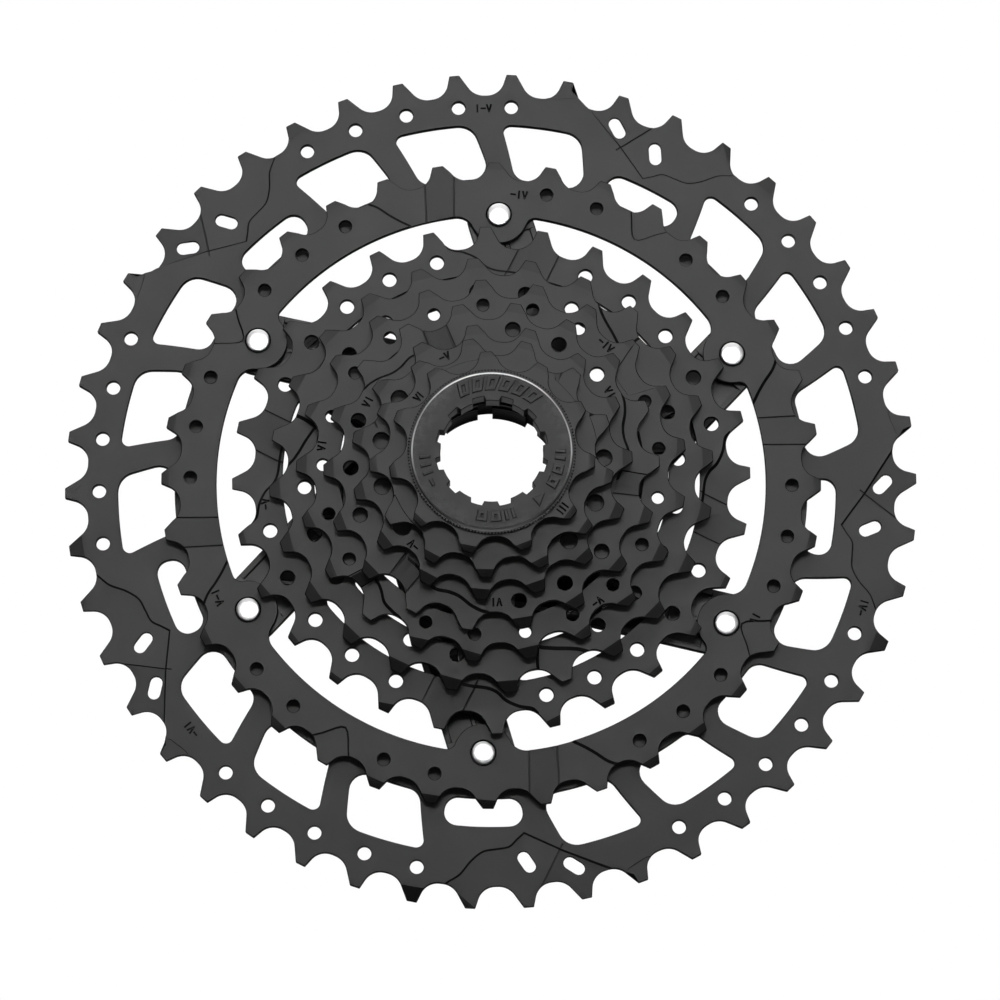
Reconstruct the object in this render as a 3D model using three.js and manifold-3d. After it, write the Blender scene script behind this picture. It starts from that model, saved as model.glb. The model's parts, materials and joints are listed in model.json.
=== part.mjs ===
// Nine-speed bicycle cassette, 11 to 46 teeth, with its carrier, rivets, spacers and lockring.
// Millimetres, +Z up along the wheel axle, from the spokes out to the lockring.
// The origin is on the axle, in the plane of the carrier's seat on the freehub body.
import * as THREE from 'three';
import { mergeVertices } from 'three/addons/utils/BufferGeometryUtils.js';
import Module from 'manifold-3d';

const wasm = await Module();
wasm.setup();

// Chain and stack. Every sprocket's size follows from its tooth count.
const CHAIN_PITCH = 12.7;
const ROLLER_DIAMETER = 7.8;
const SPROCKET_SPACING = 4.34;
const SHEET_THICKNESS = 1.8;
const STACK_GAP = 0.04;
const LARGEST_BACK = 0.6;

// Sprockets from the largest to the smallest: phase is the angle of one tooth, in degrees,
// rise is how far the flat tips stand above the chain's pitch circle.
const SPROCKETS = [
  { teeth: 46, phase: 0.95, rise: 1.03 },
  { teeth: 36, phase: 9.3, rise: -0.2 },
  { teeth: 28, phase: 1.1, rise: 0.2 },
  { teeth: 24, phase: 4.5, rise: 0.05 },
  { teeth: 21, phase: 7.2, rise: 0 },
  { teeth: 18, phase: 1.3, rise: 0 },
  { teeth: 15, phase: 1.5, rise: 0 },
  { teeth: 13, phase: 17.6, rise: 0 },
  { teeth: 11, phase: 27, rise: -0.2 },
];
const TIP_WIDTH = 2.2;
const VALLEY_ARC = 60;

// Freehub spline: nine grooves in a round bore.
const BORE_RADIUS = 15.5;
const SPLINE_RADIUS = 16.6;
const SPLINE_COUNT = 9;
const SPLINE_WIDTH = 12;
const SPLINE_PHASE = 95;

// The 46 and 36 tooth rings sit on rivet tabs, either side of the carrier's six arms.
const ARM_COUNT = 6;
const TAB_PHASE = 28.4;
const RIVET_CIRCLE = 60.58;
const TAB_RADIUS = 6.8;
const RING_INNER_46 = 64.5;
const RING_INNER_36 = 60.5;
const RIVET_SHANK = 1.7;
const RIVET_HEAD = 2.4;
const RIVET_HEAD_HEIGHT = 0.5;
const RIVET_HOLE = 2.0;

// Windows of the 46 tooth sprocket: 21 places, of which every one in the list is a short one.
const WINDOW_PLACES = 21;
const WINDOW_PHASE = 12;
const SHORT_WINDOWS = [3, 7, 11, 15, 20];
const WINDOW_INNER = 70.2;
const WINDOW_OUTER = 82.2;
const SHORT_WINDOW_OUTER = 76;
const WINDOW_HALF_ANGLE = 6.2;
const WINDOW_SLANT = 2;

// Middle sprockets: an inner hub ring, six arms, and windows out to the given radius.
const HUB_RING_RADIUS = 27;
const WEB_HALF_WIDTH = 6;
const MIDDLE_WINDOWS = { 28: 45.8, 24: 38.8, 21: 33.2 };

// Carrier.
const HUB_RADIUS = 21.8;
const ARM_OFFSET = 19.1;
const ARM_WIDTH = 14.2;
const ARM_RIB = 1.3;
const ARM_FLOOR = 1.1;
const RIB_TOP = 8.1;
const FIT_GAP = 0.3;

// Spacers, and the pins that hold the 18 to 28 tooth sprockets as one pack.
const SPACER_BORE = 17.2;
const SPACER_RADIUS = 21.5;
const PIN_COUNT = 3;
const PIN_CIRCLE = 23.8;
const PIN_PHASE = 58;
const PIN_SHANK = 1.2;
const PIN_HEAD = 1.6;
const PIN_HEAD_HEIGHT = 0.5;

// Lockring and its washer.
const COLLAR_RADIUS = 18.2;
const WASHER_BORE = 15.4;
const WASHER_RADIUS = 17.4;
const WASHER_THICKNESS = 0.5;
const LOCKRING_RADIUS = 17.9;
const LOCKRING_FACE = 38.9;
const LOCKRING_CHAMFER = 0.45;
const SLEEVE_RADIUS = 15.1;
const SLEEVE_BORE = 13.3;
const SLEEVE_LENGTH = 6.2;
const TOOL_NOTCHES = 12;
const TOOL_PHASE = 14;
const TOOL_OUTER = 12.1;
const TOOL_INNER = 11.1;
const TOOL_NOTCH_ANGLE = 14;

const rad = THREE.MathUtils.degToRad;

function polar(radius, degrees) {
  return new THREE.Vector2(radius * Math.cos(rad(degrees)), radius * Math.sin(rad(degrees)));
}

function circle(radius, segments) {
  const points = [];
  for (let i = 0; i < segments; i++) points.push(polar(radius, (i * 360) / segments));
  return points;
}

function circleAt(centre, radius, segments) {
  return circle(radius, segments).map((point) => point.add(centre));
}

function pitchRadius(teeth) {
  return CHAIN_PITCH / (2 * Math.sin(Math.PI / teeth));
}

// A tooth outline: each tooth has a flat tip, and each valley is an arc round the chain's roller.
function toothOutline({ teeth, phase, rise }) {
  const pitch = pitchRadius(teeth);
  const step = 360 / teeth;
  const tipHalf = THREE.MathUtils.radToDeg(TIP_WIDTH / 2 / (pitch + rise));
  const valleySteps = [-1, -1 / 3, 1 / 3, 1];
  const points = [];
  for (let i = 0; i < teeth; i++) {
    const tooth = phase + i * step;
    points.push(polar(pitch + rise, tooth - tipHalf), polar(pitch + rise, tooth + tipHalf));
    const middle = tooth + step / 2;
    const centre = polar(pitch, middle);
    for (const fraction of valleySteps) {
      points.push(polar(ROLLER_DIAMETER / 2, middle + 180 + fraction * VALLEY_ARC).add(centre));
    }
  }
  return reorderValleys(points, valleySteps.length);
}

// Valley arcs are made from the clockwise side to the other, so each run is turned round.
function reorderValleys(points, run) {
  const ordered = [];
  for (let i = 0; i < points.length; i += run + 2) {
    ordered.push(points[i], points[i + 1]);
    ordered.push(...points.slice(i + 2, i + 2 + run).reverse());
  }
  return ordered;
}

function splineOutline() {
  const points = [];
  const step = 360 / SPLINE_COUNT;
  for (let i = 0; i < SPLINE_COUNT; i++) {
    const middle = SPLINE_PHASE + i * step;
    points.push(polar(BORE_RADIUS, middle - SPLINE_WIDTH / 2));
    points.push(polar(SPLINE_RADIUS, middle - SPLINE_WIDTH / 2));
    points.push(polar(SPLINE_RADIUS, middle + SPLINE_WIDTH / 2));
    points.push(polar(BORE_RADIUS, middle + SPLINE_WIDTH / 2));
    points.push(polar(BORE_RADIUS, middle + step / 2));
  }
  return points;
}

// The inside of a riveted ring: a circle with a round tab at each arm of the carrier.
function tabbedOutline(radius) {
  const points = [];
  const step = 360 / ARM_COUNT;
  const tabSteps = 8;
  const ringSteps = 7;
  for (let arm = 0; arm < ARM_COUNT; arm++) {
    const angle = TAB_PHASE + arm * step;
    const centre = polar(RIVET_CIRCLE, angle);
    for (let i = 0; i <= tabSteps; i++) {
      const turn = angle + 270 - (180 * i) / tabSteps;
      points.push(polar(TAB_RADIUS, turn).add(centre));
    }
    const clear = THREE.MathUtils.radToDeg(TAB_RADIUS / radius) + 2.2;
    for (let i = 0; i <= ringSteps; i++) {
      points.push(polar(radius, angle + clear + ((step - 2 * clear) * i) / ringSteps));
    }
  }
  return points;
}

// One window of the 46 tooth sprocket, a slanted box with cut corners.
function windowOutline(middle, outer) {
  const half = WINDOW_HALF_ANGLE;
  const corner = 1.7;
  const cut = 2.2;
  const low = middle - WINDOW_SLANT / 2;
  const high = middle + WINDOW_SLANT / 2;
  return [
    polar(WINDOW_INNER, low - half + corner),
    polar(WINDOW_INNER, low + half - corner),
    polar(WINDOW_INNER + cut, low + half),
    polar(outer - cut, high + half),
    polar(outer, high + half - corner),
    polar(outer, high),
    polar(outer, high - half + corner),
    polar(outer - cut, high - half),
    polar(WINDOW_INNER + cut, low - half),
  ];
}

// One window of a middle sprocket, between two straight arms of the same width.
function webWindow(middle, outer) {
  const inner = HUB_RING_RADIUS;
  const half = 180 / ARM_COUNT;
  const innerHalf = half - THREE.MathUtils.radToDeg(WEB_HALF_WIDTH / inner);
  const outerHalf = half - THREE.MathUtils.radToDeg(WEB_HALF_WIDTH / outer);
  const points = [];
  const steps = 4;
  for (let i = 0; i <= steps; i++) {
    points.push(polar(outer, middle - outerHalf + (2 * outerHalf * i) / steps));
  }
  for (let i = 0; i <= steps; i++) {
    points.push(polar(inner, middle + innerHalf - (2 * innerHalf * i) / steps));
  }
  return points;
}

function rivetCentres() {
  const centres = [];
  for (let arm = 0; arm < ARM_COUNT; arm++) {
    centres.push(polar(RIVET_CIRCLE, TAB_PHASE + (arm * 360) / ARM_COUNT));
  }
  return centres;
}

function pinCentres() {
  const centres = [];
  for (let pin = 0; pin < PIN_COUNT; pin++) {
    centres.push(polar(PIN_CIRCLE, PIN_PHASE + (pin * 360) / PIN_COUNT));
  }
  return centres;
}

// A flat plate between two heights, from an outline and its holes.
function plate(outline, holes, bottom, top) {
  const shape = new THREE.Shape(outline);
  shape.holes = holes.map((hole) => new THREE.Path(hole));
  const geometry = new THREE.ExtrudeGeometry(shape, { depth: top - bottom, bevelEnabled: false });
  return geometry.translate(0, 0, bottom);
}

// A ring or a pin turned about +Z from a closed profile of [radius, height] pairs.
function turned(profile, segments) {
  const points = profile.map(([radius, height]) => new THREE.Vector2(radius, height));
  if (profile[0][0] > 0) points.push(points[0].clone());
  return new THREE.LatheGeometry(points, segments).rotateX(Math.PI / 2);
}

function solid(geometry) {
  const bare = geometry.clone();
  bare.deleteAttribute('normal');
  bare.deleteAttribute('uv');
  const welded = mergeVertices(bare, 1e-4);
  return new wasm.Manifold(
    new wasm.Mesh({
      numProp: 3,
      vertProperties: new Float32Array(welded.attributes.position.array),
      triVerts: new Uint32Array(welded.index.array),
    }),
  );
}

function surface(manifold) {
  const mesh = manifold.getMesh();
  const geometry = new THREE.BufferGeometry();
  geometry.setAttribute('position', new THREE.BufferAttribute(mesh.vertProperties, 3));
  geometry.setIndex(new THREE.BufferAttribute(mesh.triVerts, 1));
  geometry.computeVertexNormals();
  return geometry;
}

const cassette = new THREE.Group();

function add(name, geometry, colour, roughness, metalness) {
  const material = new THREE.MeshStandardMaterial({ color: colour, roughness, metalness });
  const mesh = new THREE.Mesh(geometry, material);
  mesh.name = name;
  cassette.add(mesh);
}

const BLACK_STEEL = [0x474747, 0.55, 0.6];
const CARRIER_GREY = [0x6c6c6e, 0.5, 0.5];
const SPACER_BLACK = [0x2a2a2c, 0.6, 0.1];
const BRIGHT_STEEL = [0xd8d8da, 0.3, 0.9];

function backOf(index) {
  return LARGEST_BACK + index * SPROCKET_SPACING;
}

function frontOf(index) {
  return backOf(index) + SHEET_THICKNESS;
}

function holesOf(teeth) {
  if (teeth === 46) {
    const windows = [];
    for (let place = 0; place < WINDOW_PLACES; place++) {
      const middle = WINDOW_PHASE + (place * 360) / WINDOW_PLACES;
      windows.push(windowOutline(middle, SHORT_WINDOWS.includes(place) ? SHORT_WINDOW_OUTER : WINDOW_OUTER));
    }
    return [tabbedOutline(RING_INNER_46), ...rivetHoles(), ...windows];
  }
  if (teeth === 36) return [tabbedOutline(RING_INNER_36), ...rivetHoles()];
  const holes = [splineOutline()];
  if (teeth >= 18) holes.push(...pinHoles());
  if (MIDDLE_WINDOWS[teeth]) {
    for (let arm = 0; arm < ARM_COUNT; arm++) {
      holes.push(webWindow(TAB_PHASE + ((arm + 0.5) * 360) / ARM_COUNT, MIDDLE_WINDOWS[teeth]));
    }
  }
  return holes;
}

function rivetHoles() {
  return rivetCentres().map((centre) => circleAt(centre, RIVET_HOLE, 10));
}

function pinHoles() {
  return pinCentres().map((centre) => circleAt(centre, PIN_SHANK + FIT_GAP, 8));
}

function addSprockets() {
  SPROCKETS.forEach((sprocket, index) => {
    const disc = plate(toothOutline(sprocket), holesOf(sprocket.teeth), backOf(index), frontOf(index));
    if (sprocket.teeth === 11) {
      const overlap = 0.5;
      const bottom = frontOf(index - 1) + STACK_GAP;
      const collar = plate(circle(COLLAR_RADIUS, 40), [splineOutline()], bottom, backOf(index) + overlap);
      add('sprocket_11t', surface(solid(disc).add(solid(collar))), ...BLACK_STEEL);
    } else {
      add(`sprocket_${sprocket.teeth}t`, disc, ...BLACK_STEEL);
    }
  });
}

// Spacers fill the gaps from the 28 tooth sprocket up to the 13 tooth one.
function addSpacers() {
  for (let index = 2; index < SPROCKETS.length - 2; index++) {
    const bottom = frontOf(index) + STACK_GAP;
    const top = backOf(index + 1) - STACK_GAP;
    const name = `spacer_${SPROCKETS[index].teeth}_${SPROCKETS[index + 1].teeth}`;
    add(name, plate(circle(SPACER_RADIUS, 32), [circle(SPACER_BORE, 32)], bottom, top), ...SPACER_BLACK);
  }
}

// A strip along an arm: across is measured from the arm's middle line, along from the axle.
function armStrip(acrossFrom, acrossTo, alongFrom, alongTo) {
  return [
    new THREE.Vector2(alongFrom, acrossFrom),
    new THREE.Vector2(alongTo, acrossFrom),
    new THREE.Vector2(alongTo, acrossTo),
    new THREE.Vector2(alongFrom, acrossTo),
  ];
}

// One arm along +X before it is turned: its middle line misses the axle by ARM_OFFSET.
function carrierArm() {
  const reach = Math.sqrt(RIVET_CIRCLE ** 2 - ARM_OFFSET ** 2);
  const padBottom = frontOf(0) + FIT_GAP;
  const padTop = backOf(1) - FIT_GAP;
  const half = ARM_WIDTH / 2;
  const floorTop = padBottom + ARM_FLOOR;
  const pocketEnd = reach - TAB_RADIUS - 1;
  const pocketStart = 14;
  let arm = solid(plate(armStrip(-half, half, 0, reach), [], padBottom, padTop));
  arm = arm.add(solid(plate(circleAt(new THREE.Vector2(reach, 0), half, 20), [], padBottom, padTop)));
  arm = arm.subtract(
    solid(plate(armStrip(ARM_RIB - half, half - ARM_RIB, pocketStart, pocketEnd), [], floorTop, padTop + 1)),
  );
  for (const side of [-1, 1]) {
    const edge = side * half;
    const profile = [
      new THREE.Vector2(0, padBottom),
      new THREE.Vector2(pocketEnd, padBottom),
      new THREE.Vector2(pocketEnd, padTop),
      new THREE.Vector2(pocketStart + 6, RIB_TOP),
      new THREE.Vector2(0, RIB_TOP),
    ];
    const rib = new THREE.ExtrudeGeometry(new THREE.Shape(profile), { depth: ARM_RIB, bevelEnabled: false });
    rib.rotateX(Math.PI / 2).translate(0, side > 0 ? edge : edge + ARM_RIB, 0);
    arm = arm.add(solid(rib));
  }
  for (const along of [22, 34, 44]) {
    const rib = plate(armStrip(-half, half, along - ARM_RIB / 2, along + ARM_RIB / 2), [], padBottom, padTop);
    arm = arm.add(solid(rib));
  }
  arm = arm.subtract(
    solid(plate(circleAt(new THREE.Vector2(reach, 0), RIVET_HOLE, 10), [], 0, RIB_TOP)),
  );
  // Move sideways so that the pad lies at the rivet circle, then turn the pad to angle zero.
  const turn = THREE.MathUtils.radToDeg(Math.asin(ARM_OFFSET / RIVET_CIRCLE));
  return arm.translate([0, -ARM_OFFSET, 0]).rotate([0, 0, turn]);
}

function addCarrier() {
  const top = backOf(2) - STACK_GAP;
  let carrier = solid(plate(circle(HUB_RADIUS, 40), [], 0, top));
  const arm = carrierArm();
  for (let i = 0; i < ARM_COUNT; i++) {
    carrier = carrier.add(arm.rotate([0, 0, TAB_PHASE + (i * 360) / ARM_COUNT]));
  }
  carrier = carrier.subtract(solid(plate(splineOutline(), [], -1, top + 1)));
  add('carrier', surface(carrier), ...CARRIER_GREY);
}

function addRivets() {
  const top = frontOf(1) + STACK_GAP;
  const bottom = LARGEST_BACK - STACK_GAP;
  const profile = [
    [0, 0],
    [RIVET_HEAD, 0],
    [RIVET_HEAD, bottom],
    [RIVET_SHANK, bottom],
    [RIVET_SHANK, top],
    [RIVET_HEAD, top],
    [RIVET_HEAD, top + RIVET_HEAD_HEIGHT],
    [0, top + RIVET_HEAD_HEIGHT],
  ];
  rivetCentres().forEach((centre, index) => {
    add(`rivet_${index + 1}`, turned(profile, 12).translate(centre.x, centre.y, 0), ...BRIGHT_STEEL);
  });
}

function addPins() {
  const bottom = backOf(2) - STACK_GAP;
  const top = frontOf(5) + STACK_GAP;
  const profile = [
    [0, bottom - PIN_HEAD_HEIGHT],
    [PIN_HEAD, bottom - PIN_HEAD_HEIGHT],
    [PIN_HEAD, bottom],
    [PIN_SHANK, bottom],
    [PIN_SHANK, top],
    [PIN_HEAD, top],
    [PIN_HEAD, top + PIN_HEAD_HEIGHT],
    [0, top + PIN_HEAD_HEIGHT],
  ];
  pinCentres().forEach((centre, index) => {
    add(`cluster_pin_${index + 1}`, turned(profile, 10).translate(centre.x, centre.y, 0), ...BRIGHT_STEEL);
  });
}

function toolOutline() {
  const points = [];
  for (let i = 0; i < TOOL_NOTCHES; i++) {
    const middle = TOOL_PHASE + (i * 360) / TOOL_NOTCHES;
    const half = TOOL_NOTCH_ANGLE / 2;
    points.push(polar(TOOL_INNER, middle - half), polar(TOOL_OUTER, middle - half + 1));
    points.push(polar(TOOL_OUTER, middle + half - 1), polar(TOOL_INNER, middle + half));
  }
  return points;
}

function addLockring() {
  const washerBottom = frontOf(SPROCKETS.length - 1) + STACK_GAP;
  const washerTop = washerBottom + WASHER_THICKNESS;
  const washer = plate(circle(WASHER_RADIUS, 40), [circle(WASHER_BORE, 40)], washerBottom, washerTop);
  add('lock_washer', washer, ...SPACER_BLACK);

  const flangeBottom = washerTop + STACK_GAP;
  const sleeveBottom = flangeBottom - SLEEVE_LENGTH;
  const body = turned(
    [
      [SLEEVE_BORE, sleeveBottom],
      [SLEEVE_RADIUS, sleeveBottom],
      [SLEEVE_RADIUS, flangeBottom],
      [LOCKRING_RADIUS, flangeBottom],
      [LOCKRING_RADIUS, LOCKRING_FACE - LOCKRING_CHAMFER],
      [LOCKRING_RADIUS - LOCKRING_CHAMFER, LOCKRING_FACE],
      [SLEEVE_BORE, LOCKRING_FACE],
    ],
    48,
  );
  const toolDepth = 5;
  const tool = plate(circle(SLEEVE_BORE + 0.6, 48), [toolOutline()], LOCKRING_FACE - toolDepth, LOCKRING_FACE);
  add('lockring', surface(solid(body).add(solid(tool))), ...BLACK_STEEL);
}

addCarrier();
addSprockets();
addSpacers();
addRivets();
addPins();
addLockring();

export default cassette;
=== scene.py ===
"""Looks of a nine-speed bicycle cassette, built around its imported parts.

Every shape is written in millimetres, and scaled to metres when its mesh is made.
Angles are in degrees, anticlockwise from +X as seen from above.
"""

import json
import math

import bpy
import numpy as np
from mathutils import Matrix, Vector
from mathutils.geometry import delaunay_2d_cdt


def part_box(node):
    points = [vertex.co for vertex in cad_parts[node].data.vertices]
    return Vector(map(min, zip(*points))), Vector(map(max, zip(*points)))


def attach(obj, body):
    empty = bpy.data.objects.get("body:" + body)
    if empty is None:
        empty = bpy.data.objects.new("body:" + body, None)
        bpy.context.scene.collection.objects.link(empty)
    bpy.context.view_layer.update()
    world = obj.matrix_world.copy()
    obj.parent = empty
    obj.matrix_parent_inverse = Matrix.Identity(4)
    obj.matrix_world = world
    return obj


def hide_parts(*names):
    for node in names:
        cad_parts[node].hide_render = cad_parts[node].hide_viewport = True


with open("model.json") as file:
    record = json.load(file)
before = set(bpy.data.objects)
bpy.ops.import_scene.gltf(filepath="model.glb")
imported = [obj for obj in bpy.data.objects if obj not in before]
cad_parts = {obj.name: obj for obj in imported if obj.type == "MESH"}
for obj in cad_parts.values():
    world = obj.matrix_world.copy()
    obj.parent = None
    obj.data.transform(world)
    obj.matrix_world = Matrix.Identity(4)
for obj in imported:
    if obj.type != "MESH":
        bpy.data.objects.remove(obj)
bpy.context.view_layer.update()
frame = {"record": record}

MM = 0.001

# ---------------------------------------------------------------- camera, light and floor

CAMERA_PLACE = (-4.98, -271.65, 1296.73)
CAMERA_X = (0.99998564, 0.0, 0.00535982)
CAMERA_Y = (-0.00108802, 0.97917945, 0.20299178)
CAMERA_Z = (-0.00524823, -0.20299470, 0.97916577)
SENSOR = 36.0
FOCAL = 215.55


def add_camera():
    data = bpy.data.cameras.new("camera")
    data.sensor_width = SENSOR
    data.lens = FOCAL
    data.clip_end = 20
    camera = bpy.data.objects.new("camera", data)
    bpy.context.scene.collection.objects.link(camera)
    turn = Matrix((CAMERA_X, CAMERA_Y, CAMERA_Z)).transposed().to_4x4()
    camera.matrix_world = Matrix.Translation(Vector(CAMERA_PLACE) * MM) @ turn
    bpy.context.scene.camera = camera


def add_area(name, place, aim, size, power, spread=180):
    data = bpy.data.lights.new(name, "AREA")
    data.shape = "RECTANGLE"
    data.size, data.size_y = size
    data.energy = power
    data.spread = math.radians(spread)
    lamp = bpy.data.objects.new(name, data)
    bpy.context.scene.collection.objects.link(lamp)
    direction = Vector(aim) - Vector(place)
    lamp.location = place
    lamp.rotation_euler = direction.to_track_quat("-Z", "Y").to_euler()
    lamp.visible_camera = False


def add_world(colour, strength):
    world = bpy.data.worlds.new("studio")
    world.use_nodes = True
    background = world.node_tree.nodes["Background"]
    background.inputs["Color"].default_value = (*colour, 1)
    background.inputs["Strength"].default_value = strength
    bpy.context.scene.world = world


def add_floor():
    """A pale sweep. It shows clean white, and gives the object only a soft glow from below."""
    half = 2.5
    corners = [(-half, -half, 0), (half, -half, 0), (half, half, 0), (-half, half, 0)]
    mesh = bpy.data.meshes.new("floor")
    mesh.from_pydata([(x, y, -0.0006) for x, y, _ in corners], [], [(0, 1, 2, 3)])
    floor = bpy.data.objects.new("floor", mesh)
    bpy.context.scene.collection.objects.link(floor)
    material = bpy.data.materials.new("floor_white")
    material.use_nodes = True
    nodes = material.node_tree.nodes
    links = material.node_tree.links
    nodes.clear()
    output = nodes.new("ShaderNodeOutputMaterial")
    mix = nodes.new("ShaderNodeMixShader")
    ray = nodes.new("ShaderNodeLightPath")
    shown = nodes.new("ShaderNodeEmission")
    shown.inputs["Strength"].default_value = 1.0
    plain = nodes.new("ShaderNodeBsdfDiffuse")
    plain.inputs["Color"].default_value = (0.12, 0.12, 0.12, 1)
    links.new(ray.outputs["Is Camera Ray"], mix.inputs["Fac"])
    links.new(plain.outputs["BSDF"], mix.inputs[1])
    links.new(shown.outputs["Emission"], mix.inputs[2])
    links.new(mix.outputs["Shader"], output.inputs["Surface"])
    mesh.materials.append(material)


add_camera()
bpy.context.scene.view_settings.view_transform = "Standard"
add_world((1.0, 1.0, 1.0), 0.025)
add_area("key", (0, 0.21, 1.45), (0, 0.12, 0.01), (0.5, 0.2), 0.29, spread=34)
add_area("back", (0, 0.58, 0.56), (0, 0.02, 0.02), (0.9, 0.3), 1.5)
add_area("left", (-1.2, 0.4, 0.6), (0, 0, 0.02), (0.3, 0.9), 1.2)
add_area("right", (1.2, 0.4, 0.6), (0, 0, 0.02), (0.3, 0.9), 1.2)
add_area("bore_glow", (0, 0, -0.0004), (0, 0, 1), (0.02, 0.02), 0.0009)
add_area("low_back", (0, 1.3, 0.25), (0, 0, 0.01), (1.6, 0.2), 5.0)
add_area("low_front", (0, -1.4, 0.25), (0, 0, 0.01), (1.6, 0.2), 5.0)
add_floor()

# ---------------------------------------------------------------- flat shapes, in millimetres


def polar(radius, degrees):
    angle = math.radians(degrees)
    return (radius * math.cos(angle), radius * math.sin(angle))


def turned(points, degrees):
    c, s = math.cos(math.radians(degrees)), math.sin(math.radians(degrees))
    return [(c * x - s * y, s * x + c * y) for x, y in points]


def moved(points, dx, dy):
    return [(x + dx, y + dy) for x, y in points]


def arc(centre, radius, start, end, steps):
    """Points on an arc, both ends included."""
    return moved(
        [polar(radius, start + (end - start) * i / steps) for i in range(steps + 1)], *centre
    )


def circle(radius, steps, centre=(0, 0)):
    return moved([polar(radius, 360 * i / steps) for i in range(steps)], *centre)


def rounded(corners, steps=7):
    """A closed outline from corners (x, y, radius), each turned into an arc."""
    points = []
    count = len(corners)
    for i in range(count):
        x, y, radius = corners[i]
        here = np.array((x, y), float)
        before = np.array(corners[i - 1][:2], float) - here
        after = np.array(corners[(i + 1) % count][:2], float) - here
        before /= np.linalg.norm(before)
        after /= np.linalg.norm(after)
        half = math.acos(float(np.clip(before @ after, -1, 1))) / 2
        if radius <= 0 or half > 1.56:
            points.append((x, y))
            continue
        middle = (before + after) / np.linalg.norm(before + after)
        centre = here + middle * radius / math.sin(half)
        first = here + before * radius / math.tan(half) - centre
        last = here + after * radius / math.tan(half) - centre
        a0 = math.atan2(first[1], first[0])
        sweep = math.atan2(last[1], last[0]) - a0
        sweep = (sweep + math.pi) % (2 * math.pi) - math.pi
        for k in range(steps + 1):
            a = a0 + sweep * k / steps
            points.append((centre[0] + radius * math.cos(a), centre[1] + radius * math.sin(a)))
    return points


def bent(points, base, middle):
    """Wraps (along, radius) points round the axle: along is measured on a circle of radius base."""
    return [polar(v, middle + math.degrees(u / base)) for u, v in points]


def subdivided(points, longest):
    """The same closed outline with no side longer than the given length."""
    out = []
    for i in range(len(points)):
        a = points[i]
        b = points[(i + 1) % len(points)]
        parts = max(1, math.ceil(math.dist(a, b) / longest))
        out += [(a[0] + (b[0] - a[0]) * k / parts, a[1] + (b[1] - a[1]) * k / parts)
                for k in range(parts)]
    return out


def flowing(points, steps=6):
    """A smooth open curve through the points."""
    pts = [np.array(p, float) for p in points]
    pts = [2 * pts[0] - pts[1]] + pts + [2 * pts[-1] - pts[-2]]
    out = []
    for i in range(1, len(pts) - 2):
        p0, p1, p2, p3 = pts[i - 1 : i + 3]
        for k in range(steps):
            t = k / steps
            out.append(tuple(
                0.5 * (2 * p1 + (p2 - p0) * t + (2 * p0 - 5 * p1 + 4 * p2 - p3) * t * t
                       + (3 * p1 - p0 - 3 * p2 + p3) * t**3)
            ))
    out.append(tuple(pts[-2]))
    return out


def area_of(points):
    p = np.array(points)
    q = np.roll(p, -1, 0)
    return float((p[:, 0] * q[:, 1] - q[:, 0] * p[:, 1]).sum() / 2)


def facing(points, anticlockwise):
    """The same outline, turned round if it runs the other way."""
    return points if (area_of(points) > 0) == anticlockwise else points[::-1]


def inset(points, distance):
    """The outline moved to its left, which is into the metal."""
    p = np.array(points)
    ahead = np.roll(p, -1, 0) - p
    ahead /= np.maximum(np.linalg.norm(ahead, axis=1), 1e-9)[:, None]
    back = np.roll(ahead, 1, 0)
    normal = np.stack([-(ahead + back)[:, 1], (ahead + back)[:, 0]], 1)
    normal /= np.maximum(np.linalg.norm(normal, axis=1), 1e-9)[:, None]
    side = np.stack([-ahead[:, 1], ahead[:, 0]], 1)
    stretch = 1 / np.maximum((normal * side).sum(1), 0.5)
    return [tuple(v) for v in p + normal * (distance * stretch)[:, None]]


def inside(px, py, polygon):
    """For each point, whether it is inside the closed polygon."""
    result = np.zeros(len(px), bool)
    poly = np.array(polygon)
    nxt = np.roll(poly, -1, 0)
    for (x0, y0), (x1, y1) in zip(poly, nxt):
        if y0 == y1:
            continue
        crosses = ((y0 > py) != (y1 > py)) & (px < (x1 - x0) * (py - y0) / (y1 - y0) + x0)
        result ^= crosses
    return result


def distance_to(px, py, line):
    """For each point, the distance to an open polyline."""
    best = np.full(len(px), 1e9)
    for (x0, y0), (x1, y1) in zip(line[:-1], line[1:]):
        dx, dy = x1 - x0, y1 - y0
        t = np.clip(((px - x0) * dx + (py - y0) * dy) / max(dx * dx + dy * dy, 1e-12), 0, 1)
        best = np.minimum(best, np.hypot(px - x0 - t * dx, py - y0 - t * dy))
    return best


# ---------------------------------------------------------------- features of a plate's face


class Recess:
    """A shallow area below the face. Its edge is a wall; the rest of its outline only closes it."""

    def __init__(self, edge, closing, depth, wall=0.12, ramp=None, closed=False):
        self.edge = edge
        self.outline = list(edge) + list(closing)
        self.depth = depth
        self.wall = wall
        self.ramp = ramp
        if closed:
            self.edge = self.outline + self.outline[:1]
        corners = np.array(self.outline)
        grow = self.wall if area_of(self.outline) > 0 else -self.wall
        inner = inset(self.outline, grow)
        self.lines = [self.edge, inner[: len(edge)] if not closed else inner + inner[:1]]
        low, high = corners.min(0) - 0.1, corners.max(0) + 0.1
        self.box = (*low, *high)

    def drop(self, x, y):
        result = np.zeros(len(x))
        x0, y0, x1, y1 = self.box
        near = (x > x0) & (x < x1) & (y > y0) & (y < y1)
        if not near.any():
            return result
        px, py = x[near], y[near]
        depth = np.clip(distance_to(px, py, self.edge) / self.wall, 0, 1) * self.depth
        if self.ramp is not None:
            depth = depth * self.ramp(px, py)
        result[near] = np.where(inside(px, py, self.outline), depth, 0)
        return result


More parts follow.
